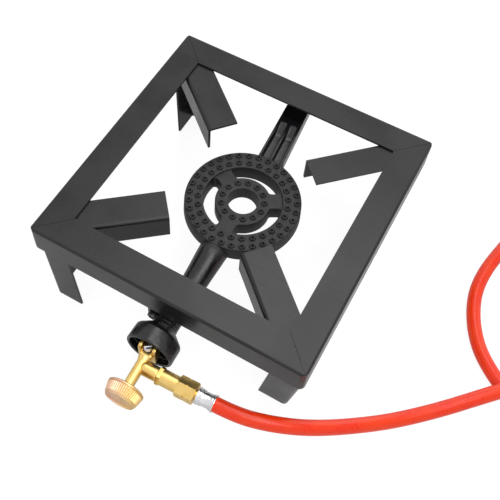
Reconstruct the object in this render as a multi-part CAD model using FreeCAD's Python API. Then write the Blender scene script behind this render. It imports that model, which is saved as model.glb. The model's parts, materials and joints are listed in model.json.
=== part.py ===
import FreeCAD, Part
import math
import os

os.makedirs("parts", exist_ok=True)

Vec = FreeCAD.Vector
ALONG_X = Vec(1, 0, 0)
ALONG_Y = Vec(0, 1, 0)
UP = Vec(0, 0, 1)

# Driving sizes in millimetres, worked on from the frame's middle with z = 0 at its top
frame_side = 300.0
stand_height = 120.0
over = 2.0  # how far a cutting tool runs past what it cuts

# Square frame of steel angle, mitred and welded
flange_width = 32.0
skirt_height = 33.0
frame_sheet = 2.5
frame_bend_radius = 2.6  # outer radius where the flange turns into the skirt
frame_corner = 6.0  # radius of the frame's upright corners
mitre_gap = 0.3  # the dark line that the ground weld leaves
least_inner_share = 0.25  # of the sheet, the smallest inner radius of a bend
frame_half = frame_side / 2
skirt_inside = frame_half - frame_sheet
flange_inside = frame_half - flange_width

# Legs of bent sheet, one under each corner
leg_width = 32.0
leg_sheet = 2.5
leg_bend_radius = 5.0
leg_lean = 7.5  # how far a foot stands inside its corner
leg_inset = 4.0
leg_top_gap = 1.0  # below the flange, clear of its inner bend
leg_places = {
    # name: corner signs, inset share, lean shares along X and Y
    "leg_front_left": ((-1, -1), 1.0, (1.0, -0.2)),
    "leg_front_right": ((1, -1), 0.0, (1.5, 1.25)),
    "leg_back_right": ((1, 1), 0.0, (1.1, 1.1)),
    "leg_back_left": ((-1, 1), 0.0, (1.4, 1.5)),
}

# Pot supports of the same kind of angle, on the diagonals
support_width = 32.5
support_skirt = 31.0
support_sheet = 2.5
support_bend_radius = 4.0
support_radius = 76.0  # from the frame's middle to a support's inner end
support_trim = 9.5  # from the skirts' inner faces to the supports' outer ends
support_places = {
    # name: turn of the inner end about the middle, turn of the sheet, side of its skirt
    "pot_support_front_left": (228.6, 219.7, 1),
    "pot_support_front_right": (311.1, 317.7, -1),
    "pot_support_back_right": (43.6, 44.6, 1),
    "pot_support_back_left": (132.3, 139.3, 1),
}

# Cast iron burner
burner_x = 5.3  # the casting sits this far right of the frame's middle
ring_top = -26.0
ring_height = 20.0
ring_radius = 61.5
ring_width = 20.5
slot_width = 12.0
core_width = 13.5
ring_bore = ring_radius - ring_width
core_radius = ring_bore - slot_width
core_bore = core_radius - core_width
core_drop = 2.0  # the inner ring and the bridges lie lower
bridge_width = 18.0
bridge_turns = (30.0, 150.0, 270.0)
cast_wall = 3.5
ring_edge = 1.5
ring_foot = 3.0
duct_width = 9.0
jet_counts = (33, 27, 13)  # from the outer row inwards
jet_turns = (-149.6, -156.2, -172.2)
jet_drop_shares = (0, 0, 1)
jet_insets = (5.5, 5.7, 6.9)  # from the ring's edge, its bore and the core's bore
jet_radii = (ring_radius - jet_insets[0], ring_bore + jet_insets[1], core_bore + jet_insets[2])
jet_base = 3.3
jet_top = 2.6
jet_rise = 1.8
jet_hole = 1.1
jet_depth = 6.0

# Mixing tube and its mouth, along -Y
tube_axis = -48.0  # height of the valve's axis
tube_radius = 12.6
tube_swell = 2.27  # how much its radius grows into the ring
tube_wall = 3.2
tube_head_drop = 15.0  # from the ring's top to the tube's axis there
tube_head_inset = 13.5
tube_head = ring_radius - tube_head_inset  # where its closed end lies in the ring's floor
tube_stations = (
    # share of the way out, share of the drop, share of the swell
    (0, 0, 1),
    (0.14, 0.12, 0.95),
    (0.32, 0.55, 0.45),
    (0.5, 0.9, 0.1),
    (0.68, 1, 0),
    (1, 1, 0),
)
neck_radius = 13.0
cup_clearance = 8.0  # from the front skirt's inner face
cup_back = skirt_inside + cup_clearance
cup_shoulder = 9.5
cup_radius = 25.0
cup_wall = 3.2
cup_length = 27.5
cup_face = cup_back + cup_length
cup_edge = 2.0
bar_width = 12.0
bar_thickness = 8.0
bar_inset = 7.0  # from the mouth's face back to the bar
bar_bore = 4.3
bar_boss = 7.2
tongue_width = 7.0
tongue_thickness = 3.5
tongue_reach = 10.9
tongue_height = 5.5  # from the valve's axis up to the tongue's underside

# Rear arm: a trough with two rails and a middle rib
arm_width_ring = 29.0
arm_width_end = 26.0
arm_inset = 11.5
arm_start = ring_radius - arm_inset
arm_turn = 4.9
arm_pivot = 65.0
arm_height = 15.0
rail_width = 3.6
rib_width = 3.0
groove_depth = 6.0
pad_back = 26.5  # from the back skirt's inner face
pad_length = 15.0
pad_end = skirt_inside - pad_back
groove_end = pad_end - pad_length
pad_drop = 9.0
arm_lug_width = 20.0
arm_lug_sheet = 5.0
arm_lug_top = -12.0

# What holds the casting to the frame
ear_radius = 5.5
ear_sheet = 5.0
ear_out = 15.3  # from the tube's axis out to the ear's hole
ear_rise = 4.0
tab_width = 15.0
tab_sheet = 2.5
tab_top = -9.0
tab_drop = 7.0
screw_shank = 2.0
screw_head = 3.8
screw_head_height = 2.3
screw_socket = 1.25
screw_socket_depth = 1.4
screw_room = 0.4
screw_bite = 4.0
rear_screw_z = -21.0

# Valve, drawn square to the frame about the crossing of its stem and inlet, then swung on its clamp screw
valve_swing = 2.2
clamp_back = 15.8  # from the crossing back to the clamp screw
clamp_inset = 0.3  # from the mouth's face
clamp_room = 0.3  # round the clamp screw in the tongue
clamp_y = -cup_face + clamp_inset
stem_radius = 5.25
stem_length = 26.0
stem_bore = 3.0
seat_depth = 1.5
gas_bore = 1.25
branch_radius = 7.25
branch_length = 20.0
branch_taper = 5.0
branch_bore = 5.0
branch_root = 4.4
branch_way = 2.4
saddle_start = 9.0
saddle_end = 21.5
saddle_radius = 7.6
flank_start = 11.5  # the saddle's two flat flanks beside the tongue
flank_inner = 5.6
flank_thickness = 3.4
flank_top = 14.0
flank_drop = 13.0
flank_round = 4.2
nose_radius = 3.2
nose_length = 9.0
injector_radius = 2.9
injector_length = 7.0
injector_thread = 2.3
injector_thread_length = 4.0
injector_hole = 0.6
injector_flats_share = 0.6  # of its length, up to the taper
injector_tip_share = 0.5  # of its radius, at the tip
injector_cup_share = 0.7  # of its length, drilled wide
clamp_shank = 2.0
clamp_bite = 3.3
clamp_head = 4.2
clamp_head_height = 3.3
clamp_slot = 1.0
clamp_slot_depth = 1.3
clamp_slot_turn = 35.0
clamp_rim_share = 0.55  # of the head's height, up to its rounding
clamp_top_share = 0.7  # of the head's radius, on top

# Needle spindle, packing and gland
spindle_radius = 2.0
running_gap = 0.05
thread_start = 5.5
thread_length = 8.0
packing_length = 3.5
gland_length = 4.0
gland_head = 4.6
gland_head_height = 2.5
needle_gap = 0.3
needle_length = 2.4

# Knurled knob
knob_radius = 16.2  # where the knurl ends, towards the front
knob_back_radius = 18.4
knob_rear = 24.2
knob_thickness = 14.5
knob_recess_radius = 6.4
knob_recess = 6.0
knob_chamfer = 1.0
knob_rim = 2.5  # smooth, behind the groove and the knurl
knob_groove = 0.5
knob_bevel_length = 2.3  # smooth, before the knurl
knob_bevel = 1.5
knob_teeth = 48
knob_tooth_depth = 0.8
knob_face_radius = 13.4
knob_face_depth = 1.0
knob_cap = 6.0  # from the front face back to the blind end of its bore

# Inlet, union nuts, hose tails and ferrules, along their own axis
collar_flats = 16.4
collar_length = 3.5
adaptor_radius = 8.1
adaptor_length = 17.0
thread_radius = 7.6
adaptor_thread = 6.0
spigot_length = 6.0
inlet_bore = 3.0
nut_flats = 19.0
nut_length = 19.0
nut_shoulder = 6.5
nut_chamfer = 1.2
nut_notch = 0.8
nut_notch_depth = 0.7
hex_sides = 6
flat_up = 30.0  # turn that brings a flat uppermost
nut_thread_gap = 0.1
nut_relief = 0.3  # the undercut behind the thread, round the tail's flange
tail_flange = 7.2
tail_flange_length = 4.0
tail_neck = 5.0
tail_neck_gap = 0.15
tail_spigot = 4.2
tail_bore = 2.6
ferrule_gap = 1.7  # clear of the nut's end
ferrule_length = 18.0
ferrule_radius = 8.0
ferrule_lip = 8.5
ferrule_lip_length = 1.6
ferrule_waist = 7.1
ferrule_flare = 8.8
crimp_shares = (0.3, 0.38, 0.72, 0.82)  # of the ferrule's length: into the waist and out of it

# Hose
hose_radius = 7.5
floor_z = -stand_height
hose_floor = floor_z + hose_radius
hose_step = 15.0  # the straight that ends the loop
hose_lead = 22.0  # straight out of the ferrule, and straight into the loop
hose_route = (
    # the hand-laid points of the free stretch: along X and Y from the ferrule's end, and their heights
    (51.5, 9.4, -50.0),
    (81.5, 25.7, -59.1),
    (110.7, 50.4, -77.0),
    (148.0, 83.9, -92.5),
    (185.0, 119.9, -95.3),
    (215.0, 151.4, -93.3),
    (260.0, 199.0, -93.3),
    (299.0, 240.6, -105.5),
)
coil_start = (345.0, 291.4)  # along X and Y from the ferrule's end
coil_heading = 45.0
coil_radii = (83.7, 83.7, 15.8, 106.0, 49.6, 125.0, 125.0, 290.0)  # a straight has its length here
coil_angles = (67.5, 67.5, 0.0, 90.0, 0.0, 90.0, 90.0, 18.8)  # and no turn here
coil_lift_radius = 130.0
end_clearance = 0.4  # between the far nut's corners and the floor
bend_share = 0.45  # of the shorter run beside a corner, taken by its arc

solids = {}


# Shape helpers
def polar(radius, turn):
    return Vec(radius * math.cos(math.radians(turn)), radius * math.sin(math.radians(turn)), 0)


def closed(points):
    return Part.makePolygon([Vec(*p) for p in points] + [Vec(*points[0])])


def prism(points, along):
    return Part.Face(closed(points)).extrude(along)


def block(low, high):
    size = Vec(*high) - Vec(*low)
    return Part.makeBox(size.x, size.y, size.z, Vec(*low))


def rod(radius, start, end):
    way = end - start
    return Part.makeCylinder(radius, way.Length, start, way)


def cone(radius_start, radius_end, start, end):
    way = end - start
    return Part.makeCone(radius_start, radius_end, way.Length, start, way)


def turned(profile, start, along):
    """A body of revolution: (distance along the axis, radius) pairs, from a point along a direction."""
    side = UP if abs(along.dot(UP)) < abs(along.dot(ALONG_X)) + abs(along.dot(ALONG_Y)) else ALONG_X
    points = [start + along * d + side * r for d, r in profile]
    wire = Part.makePolygon(points + [points[0]])
    return Part.Face(wire).revolve(start, along, 360)


def hexagon(flats, start, end, turn=0.0):
    way = end - start
    reach = flats / 2 / math.cos(math.pi / hex_sides)
    level = way.cross(UP)
    level.normalize()
    points = []
    for k in range(hex_sides):
        spin = FreeCAD.Rotation(way, turn + 360 * k / hex_sides)
        points.append(start + spin.multVec(level) * reach)
    return Part.Face(Part.makePolygon(points + [points[0]])).extrude(way)


def angle_profile(flange, skirt, sheet, bend):
    """An angle section in the YZ plane: the flange runs to +Y from its bend, the skirt hangs down."""
    outer, inner = bend, max(bend - sheet, sheet * least_inner_share)
    c45 = math.cos(math.pi / 4)
    mid_outer = Vec(0, outer - outer * c45, -outer + outer * c45)
    hub = Vec(0, sheet + inner, -sheet - inner)
    mid_inner = hub + Vec(0, -inner * c45, inner * c45)
    edges = [
        Part.LineSegment(Vec(0, outer, 0), Vec(0, flange, 0)),
        Part.LineSegment(Vec(0, flange, 0), Vec(0, flange, -sheet)),
        Part.LineSegment(Vec(0, flange, -sheet), Vec(0, sheet + inner, -sheet)),
        Part.Arc(Vec(0, sheet + inner, -sheet), mid_inner, Vec(0, sheet, -sheet - inner)),
        Part.LineSegment(Vec(0, sheet, -sheet - inner), Vec(0, sheet, -skirt)),
        Part.LineSegment(Vec(0, sheet, -skirt), Vec(0, 0, -skirt)),
        Part.LineSegment(Vec(0, 0, -skirt), Vec(0, 0, -outer)),
        Part.Arc(Vec(0, 0, -outer), mid_outer, Vec(0, outer, 0)),
    ]
    return Part.Face(Part.Wire([e.toShape() for e in edges]))


# Frame bars
def frame_bar(turn):
    section = angle_profile(flange_width, skirt_height, frame_sheet, frame_bend_radius)
    section.translate(Vec(-frame_half, -frame_half, 0))
    bar = section.extrude(Vec(frame_side, 0, 0))
    low = -skirt_height - over
    half_gap = mitre_gap / 2 / math.cos(math.pi / 4)
    reach = frame_half + over
    wedge = prism(
        [(0, -half_gap, low), (-reach, -reach - half_gap, low), (reach, -reach - half_gap, low)],
        Vec(0, 0, over - low),
    )
    rounded = block((-frame_half, -frame_half, low), (frame_half, frame_half, over))
    uprights = [e for e in rounded.Edges if e.BoundBox.ZLength > skirt_height]
    rounded = rounded.makeFillet(frame_corner, uprights)
    bar = bar.common(wedge).common(rounded)
    bar.rotate(Vec(0, 0, 0), UP, turn)
    return bar


def build_frame():
    for name, turn in (("front", 0), ("right", 90), ("back", 180), ("left", 270)):
        solids["frame_bar_" + name] = frame_bar(turn)


# Legs
def leg_section(corner, signs, z):
    """The angle's outline at one height; corner is the place of its outer corner."""
    sx, sy = signs
    inner = leg_bend_radius - leg_sheet
    c45 = math.cos(math.pi / 4)

    def at(u, v):
        return Vec(corner[0] - sx * u, corner[1] - sy * v, z)

    hub = leg_bend_radius
    bow_out = hub - leg_bend_radius * c45
    bow_in = hub - inner * c45
    edges = [
        Part.LineSegment(at(leg_width, 0), at(hub, 0)),
        Part.Arc(at(hub, 0), at(bow_out, bow_out), at(0, hub)),
        Part.LineSegment(at(0, hub), at(0, leg_width)),
        Part.LineSegment(at(0, leg_width), at(leg_sheet, leg_width)),
        Part.LineSegment(at(leg_sheet, leg_width), at(leg_sheet, hub)),
        Part.Arc(at(leg_sheet, hub), at(bow_in, bow_in), at(hub, leg_sheet)),
        Part.LineSegment(at(hub, leg_sheet), at(leg_width, leg_sheet)),
        Part.LineSegment(at(leg_width, leg_sheet), at(leg_width, 0)),
    ]
    return Part.Wire([e.toShape() for e in edges])


def leg(signs, inset_share, lean_shares):
    top = (signs[0] * (skirt_inside - leg_inset * inset_share), signs[1] * skirt_inside)
    foot = tuple(top[k] - signs[k] * leg_lean * lean_shares[k] for k in (0, 1))
    heights = ((top, -frame_sheet - leg_top_gap), (top, -skirt_height), (foot, floor_z))
    return Part.makeLoft([leg_section(corner, signs, z) for corner, z in heights], True, True)


def build_legs():
    for name, (signs, inset_share, lean_shares) in leg_places.items():
        solids[name] = leg(signs, inset_share, lean_shares)


# Pot supports
def pot_support(end_turn, sheet_turn, side):
    section = angle_profile(support_width, support_skirt, support_sheet, support_bend_radius)
    section.translate(Vec(0, -support_width / 2, -frame_sheet))
    sheet = section.extrude(Vec(frame_half, 0, 0))
    if side > 0:
        sheet = sheet.mirror(Vec(0, 0, 0), ALONG_Y)
    sheet.rotate(Vec(0, 0, 0), UP, sheet_turn)
    sheet.translate(polar(support_radius, end_turn))
    reach = skirt_inside - support_trim
    room = block((-reach, -reach, -frame_half), (reach, reach, 0))
    return sheet.common(room)


def build_supports():
    for name, place in support_places.items():
        solids[name] = pot_support(*place)


# Burner casting
def drum(radius, low, high, x=burner_x):
    return Part.makeCylinder(radius, high - low, Vec(x, 0, low))


def bridges(width, radius, low, high):
    arms = []
    for turn in bridge_turns:
        arm = block((0, -width / 2, low), (radius, width / 2, high))
        arm.rotate(Vec(0, 0, 0), UP, turn)
        arm.translate(Vec(burner_x, 0, 0))
        arms.append(arm)
    return arms[0].multiFuse(arms[1:])


def tube_loft(shrink):
    """The mixing tube through round sections, or its hollow when it is drawn a wall smaller."""
    head_z = ring_top - tube_head_drop
    start, end = tube_head + shrink, cup_back + over
    rings = []
    for way_share, drop_share, swell_share in tube_stations:
        y = -(start + (end - start) * way_share)
        z = head_z + (tube_axis - head_z) * drop_share
        radius = tube_radius + tube_swell * swell_share - shrink
        circle = Part.Circle(Vec(burner_x, y, z), ALONG_Y, radius)
        rings.append(Part.Wire([circle.toShape()]))
    return Part.makeLoft(rings, True, False)


def ring_solid():
    bottom = ring_top - ring_height
    edge = ring_edge
    outer = turned(
        [(0, ring_bore), (0, ring_radius - ring_foot), (ring_foot, ring_radius),
         (ring_height - edge, ring_radius), (ring_height, ring_radius - edge),
         (ring_height, ring_bore)],
        Vec(burner_x, 0, bottom), UP,
    )
    core_height = ring_height - core_drop
    core = turned(
        [(0, core_bore), (0, core_radius), (core_height, core_radius), (core_height, core_bore)],
        Vec(burner_x, 0, bottom), UP,
    )
    overlap = (ring_bore + ring_radius) / 2
    links = bridges(bridge_width, overlap, bottom, ring_top - core_drop)
    links = links.cut(drum((core_bore + core_radius) / 2, bottom - over, ring_top + over))
    return outer.fuse([core, links])


def ring_chamber():
    """The gas space: a channel under each ring of jets, joined through the bridges."""
    floor = ring_top - ring_height + cast_wall
    outer = drum(ring_radius - cast_wall, floor, ring_top - cast_wall)
    outer = outer.cut(drum(ring_bore + cast_wall, floor - over, ring_top))
    low_roof = ring_top - core_drop - cast_wall
    inner = drum(core_radius - cast_wall, floor, low_roof)
    inner = inner.cut(drum(core_bore + cast_wall, floor - over, ring_top))
    ducts = bridges(duct_width, ring_bore + cast_wall + over, floor, low_roof)
    ducts = ducts.cut(drum(core_radius - cast_wall - over, floor - over, ring_top))
    return outer.fuse([inner, ducts])


def jets():
    """Raised jets round the rings, and the holes that are drilled through them."""
    bosses, holes = [], []
    for count, radius, first, drop_share in zip(jet_counts, jet_radii, jet_turns, jet_drop_shares):
        roof = ring_top - core_drop * drop_share
        for k in range(count):
            foot = Vec(burner_x, 0, roof) + polar(radius, first - 360 * k / count)
            tip = foot + UP * jet_rise
            bosses.append(cone(jet_base, jet_top, foot, tip))
            holes.append(rod(jet_hole, tip + UP * over, foot - UP * jet_depth))
    return bosses, holes


def mouth():
    """The bell at the tube's end, with its centre bar and the tongue that the valve is clamped to."""
    axis = Vec(burner_x, 0, tube_axis)
    out = Vec(0, -1, 0)
    c45 = math.cos(math.pi / 4)
    bow = cup_shoulder * (1 - c45)
    shell = turned(
        [(cup_back - over, 0), (cup_back - over, neck_radius), (cup_back, neck_radius),
         (cup_back + bow, cup_radius - (cup_radius - neck_radius) * (1 - c45)),
         (cup_back + cup_shoulder, cup_radius),
         (cup_face - cup_edge, cup_radius), (cup_face, cup_radius - cup_edge / 2), (cup_face, 0)],
        axis, out,
    )
    throat = neck_radius - tube_wall
    hollow = turned(
        [(cup_back - over * 2, 0), (cup_back - over * 2, throat), (cup_back + cup_wall, throat),
         (cup_back + cup_shoulder + cup_wall, cup_radius - cup_wall),
         (cup_face + over, cup_radius - cup_wall), (cup_face + over, 0)],
        axis, out,
    )
    front = -(cup_face - bar_inset)
    half = bar_width / 2
    bar = block((burner_x - half, front, tube_axis - cup_radius + cup_wall / 2),
                (burner_x + half, front + bar_thickness, tube_axis + cup_radius - cup_wall / 2))
    half = tongue_width / 2
    low = tube_axis + tongue_height
    tongue = block((burner_x - half, front - tongue_reach, low),
                   (burner_x + half, front + bar_thickness / 2, low + tongue_thickness))
    boss = rod(bar_boss, Vec(burner_x, front, tube_axis), Vec(burner_x, front + bar_thickness, tube_axis))
    nose_hole = rod(bar_bore, Vec(burner_x, front - over, tube_axis),
                    Vec(burner_x, front + bar_thickness + over, tube_axis))
    clamp_hole = rod(clamp_shank + clamp_room,Vec(burner_x, clamp_y, low - over),
                     Vec(burner_x, clamp_y, low + tongue_thickness + over))
    return shell, hollow, bar.fuse([tongue, boss]).cut(nose_hole.fuse(clamp_hole))


def rear_arm():
    """A tapered trough, open on top, with a middle rib, a pad and a lug against the back skirt."""
    end = skirt_inside
    half_ring, half_end = arm_width_ring / 2, arm_width_end / 2
    low = ring_top - arm_height

    def plan(start, stop, spare_ring, spare_end, bottom, top):
        return prism(
            [(-half_ring + spare_ring, start, bottom), (half_ring - spare_ring, start, bottom),
             (half_end - spare_end, stop, bottom), (-half_end + spare_end, stop, bottom)],
            Vec(0, 0, top - bottom),
        )

    arm = plan(arm_start, end + over * 2, 0, 0, low, ring_top)
    groove_floor = ring_top - groove_depth
    for side in (-1, 1):
        inner, outer = rib_width / 2, half_ring - rail_width
        far = groove_end
        groove = prism(
            [(side * inner, arm_start - over, groove_floor), (side * outer, arm_start - over, groove_floor),
             (side * (half_end - rail_width), far, groove_floor), (side * inner, far, groove_floor)],
            Vec(0, 0, groove_depth + over),
        )
        arm = arm.cut(groove)
    pocket = plan(pad_end, end - arm_lug_sheet, rail_width, rail_width, ring_top - pad_drop, ring_top + over)
    arm = arm.cut(pocket)
    arm.rotate(Vec(0, arm_pivot, 0), UP, arm_turn)
    arm.translate(Vec(burner_x, 0, 0))
    arm = arm.common(block((-frame_half, arm_start / 2, low - over), (frame_half, end, ring_top)))
    shift = math.tan(math.radians(arm_turn)) * (end - arm_pivot)
    middle = burner_x - shift
    half = arm_lug_width / 2
    lug = block((middle - half, end - arm_lug_sheet, low), (middle + half, end, arm_lug_top))
    hole = rod(screw_shank, Vec(middle, end - arm_lug_sheet - over, rear_screw_z),
               Vec(middle, end + over, rear_screw_z))
    return arm.fuse(lug).cut(hole), middle


def front_ear():
    """The lug beside the neck that the front screw is driven into."""
    back = -skirt_inside
    hole_at = Vec(burner_x - ear_out, back, tube_axis + ear_rise)
    front = Vec(0, -ear_sheet, 0)
    ear = rod(ear_radius, hole_at, hole_at + front)
    web = block((burner_x - ear_out, back - ear_sheet, hole_at.z - ear_radius),
                (burner_x, back, hole_at.z + ear_radius))
    hole = rod(screw_shank, hole_at + Vec(0, over, 0), hole_at + front - Vec(0, over, 0))
    room_depth = tab_sheet + screw_head_height + over
    head_room = rod(screw_head + screw_room, hole_at, hole_at + Vec(0, room_depth, 0))
    return ear.fuse(web), hole.fuse(head_room), hole_at


def build_casting():
    body = ring_solid()
    shell, hollow, bar = mouth()
    arm, arm_middle = rear_arm()
    arm = arm.cut(drum(ring_radius - cast_wall / 2, ring_top - ring_height - over, ring_top + over))
    ear, ear_cut, hole_at = front_ear()
    bosses, holes = jets()
    body = body.fuse([tube_loft(0), shell, ear, arm] + bosses)
    body = body.cut([ring_chamber(), tube_loft(tube_wall), hollow, ear_cut] + holes)
    body = body.fuse(bar).removeSplitter()
    solids["burner_casting"] = body
    return arm_middle, hole_at


# The tab behind the front skirt, and the two socket screws
def socket_screw(head_at, way, length):
    """head_at is the middle of the seat under the head, and the shank runs along way."""
    head = rod(screw_head, head_at, head_at - way * screw_head_height)
    shank = rod(screw_shank, head_at, head_at + way * length)
    top = head_at - way * screw_head_height
    socket = hexagon(screw_socket * 2, top - way * over, top + way * screw_socket_depth)
    return head.fuse(shank).cut(socket)


def build_fixings(arm_middle, ear_hole):
    tab_back = -skirt_inside + tab_sheet
    half = tab_width / 2
    tab = block((ear_hole.x - half, -skirt_inside, ear_hole.z - tab_drop),
                (ear_hole.x + half, tab_back, tab_top))
    before = Vec(ear_hole.x, -skirt_inside - over, ear_hole.z)
    through = rod(screw_shank, before, Vec(ear_hole.x, tab_back + over, ear_hole.z))
    tube_room = rod(tube_radius + screw_room, Vec(burner_x, -skirt_inside - over, tube_axis),
                    Vec(burner_x, tab_back + over, tube_axis))
    solids["burner_fixing_tab"] = tab.cut([through, tube_room])
    front = socket_screw(Vec(ear_hole.x, tab_back, ear_hole.z), Vec(0, -1, 0), tab_sheet + screw_bite)
    rear_length = frame_sheet + arm_lug_sheet
    rear = socket_screw(Vec(arm_middle, frame_half, rear_screw_z), Vec(0, -1, 0), rear_length)
    solids["burner_fixing_screws"] = Part.makeCompound([front, rear])
    drilled = rod(screw_shank, Vec(arm_middle, skirt_inside - over, rear_screw_z),
                  Vec(arm_middle, frame_half + over, rear_screw_z))
    solids["frame_bar_back"] = solids["frame_bar_back"].cut(drilled)


# Valve, drawn about the crossing of its stem and inlet: the knob lies along -Y and the hose along +X
def valve_body():
    out = Vec(0, -1, 0)
    stem = rod(stem_radius, Vec(0, saddle_start, 0), Vec(0, -stem_length, 0))
    neck = cone(stem_radius, saddle_radius, Vec(0, saddle_start / 2, 0), Vec(0, saddle_start, 0))
    saddle = rod(saddle_radius, Vec(0, saddle_start, 0), Vec(0, saddle_end, 0))
    above = block((-saddle_radius - over, saddle_start - over, tongue_height),
                  (saddle_radius + over, saddle_end + over, saddle_radius + over))
    saddle = saddle.fuse(neck).cut(above)
    flanks = []
    for side in (-1, 1):
        low, high = sorted((side * flank_inner, side * (flank_inner + flank_thickness)))
        flank = block((low, flank_start, -flank_drop), (high, saddle_end, flank_top))
        corners = [e for e in flank.Edges if e.BoundBox.XLength > running_gap]
        flanks.append(flank.makeFillet(flank_round, corners))
    nose = rod(nose_radius, Vec(0, saddle_end, 0), Vec(0, saddle_end + nose_length, 0))
    branch = cone(branch_root, branch_radius, Vec(0, 0, 0), Vec(branch_taper, 0, 0))
    branch = branch.fuse(rod(branch_radius, Vec(branch_taper, 0, 0), Vec(branch_length, 0, 0)))
    body = stem.fuse([saddle, nose, branch] + flanks)
    seat = stem_bore - gas_bore
    spindle_way = turned(
        [(-seat, 0), (-seat, gas_bore), (0, stem_bore), (stem_length + over, stem_bore),
         (stem_length + over, 0)],
        Vec(0, seat_depth, 0), out,
    )
    gas_way = rod(gas_bore, Vec(0, seat_depth, 0), Vec(0, saddle_end + nose_length + over, 0))
    jet_way = rod(injector_thread, Vec(0, saddle_end + nose_length - injector_thread_length, 0),
                  Vec(0, saddle_end + nose_length + over, 0))
    cross_way = rod(branch_way, Vec(0, 0, 0), Vec(branch_length, 0, 0))
    socket = rod(branch_bore, Vec(branch_length - spigot_length, 0, 0), Vec(branch_length + over, 0, 0))
    clamp_way = rod(clamp_shank, Vec(0, clamp_back, tongue_height - clamp_bite),
                    Vec(0, clamp_back, tongue_height + over))
    return body.cut([spindle_way, gas_way, jet_way, cross_way, socket, clamp_way])


def injector():
    tip = saddle_end + nose_length
    head = turned(
        [(0, 0), (0, injector_radius), (injector_length * injector_flats_share, injector_radius),
         (injector_length, injector_radius * injector_tip_share), (injector_length, 0)],
        Vec(0, tip, 0), ALONG_Y,
    )
    thread = rod(injector_thread, Vec(0, tip - injector_thread_length, 0), Vec(0, tip, 0))
    wide = rod(gas_bore, Vec(0, tip - injector_thread_length - over, 0),
               Vec(0, tip + injector_length * injector_cup_share, 0))
    fine = rod(injector_hole, Vec(0, tip, 0), Vec(0, tip + injector_length + over, 0))
    return head.fuse(thread).cut([wide, fine])


def clamp_screw():
    seat = tongue_height + tongue_thickness
    at = Vec(0, clamp_back, 0)
    head = turned(
        [(0, 0), (0, clamp_head), (clamp_head_height * clamp_rim_share, clamp_head),
         (clamp_head_height, clamp_head * clamp_top_share), (clamp_head_height, 0)],
        at + UP * seat, UP,
    )
    shank = rod(clamp_shank, at + UP * (tongue_height - clamp_bite), at + UP * seat)
    top = seat + clamp_head_height
    slot = block((-clamp_head - over, clamp_back - clamp_slot / 2, top - clamp_slot_depth),
                 (clamp_head + over, clamp_back + clamp_slot / 2, top + over))
    slot.rotate(at, UP, clamp_slot_turn)
    return head.fuse(shank).cut(slot)


def spindle():
    """The needle, its threaded collar and the rod that carries the knob."""
    out = Vec(0, -1, 0)
    seat = stem_bore - gas_bore
    slope = needle_gap * math.sqrt(2)
    tip_radius = gas_bore
    start = -seat + slope
    collar = stem_bore - running_gap
    end = knob_rear + knob_thickness - knob_cap + seat_depth - running_gap * 2
    return turned(
        [(start, 0), (start, tip_radius - running_gap),
         (start + spindle_radius - tip_radius + running_gap, spindle_radius),
         (thread_start, spindle_radius), (thread_start, collar),
         (thread_start + thread_length, collar), (thread_start + thread_length, spindle_radius),
         (end, spindle_radius), (end, 0)],
        Vec(0, seat_depth, 0), out,
    )


def gland_ring(start, length):
    tube = rod(stem_bore, Vec(0, -start, 0), Vec(0, -start - length, 0))
    hole = rod(spindle_radius + running_gap, Vec(0, -start + over, 0), Vec(0, -start - length - over, 0))
    return tube.cut(hole)


def packing_gland():
    ring = gland_ring(stem_length - gland_length, gland_length)
    head = hexagon(gland_head * 2, Vec(0, -stem_length, 0), Vec(0, -stem_length - gland_head_height, 0))
    hole = rod(spindle_radius + running_gap, Vec(0, -stem_length + over, 0),
               Vec(0, -stem_length - gland_head_height - over, 0))
    return ring.fuse(head.cut(hole))


def knob():
    out = Vec(0, -1, 0)
    rear, front = knob_rear, knob_rear + knob_thickness
    floor = front - knob_face_depth
    bore = spindle_radius + running_gap
    rim_end = rear + knob_rim
    band_start, band_end = rim_end + knob_groove, front - knob_bevel_length
    low = knob_back_radius - knob_tooth_depth
    body = turned(
        [(rear, knob_recess_radius), (rear, knob_back_radius - knob_chamfer),
         (rear + knob_chamfer, knob_back_radius), (rim_end, knob_back_radius),
         (rim_end, low), (band_start, low), (band_start, knob_back_radius),
         (band_end, knob_radius), (front, knob_radius - knob_bevel),
         (front, knob_face_radius), (floor, knob_face_radius - knob_chamfer),
         (floor, 0), (front - knob_cap, 0), (front - knob_cap, bore), (rear + knob_recess, bore),
         (rear + knob_recess, knob_recess_radius)],
        Vec(0, 0, 0), out,
    )
    wires = []
    for distance, tip in ((band_start, knob_back_radius), (band_end, knob_radius)):
        teeth = []
        for k in range(knob_teeth * 2):
            radius = tip if k % 2 else tip - knob_tooth_depth
            spot = polar(radius, 180 * k / knob_teeth)
            teeth.append((spot.x, -distance, spot.y))
        wires.append(closed(teeth))
    sleeve = rod(knob_back_radius + over, out * band_start, out * band_end)
    return body.cut(sleeve.cut(Part.makeLoft(wires, True, True)))


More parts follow.
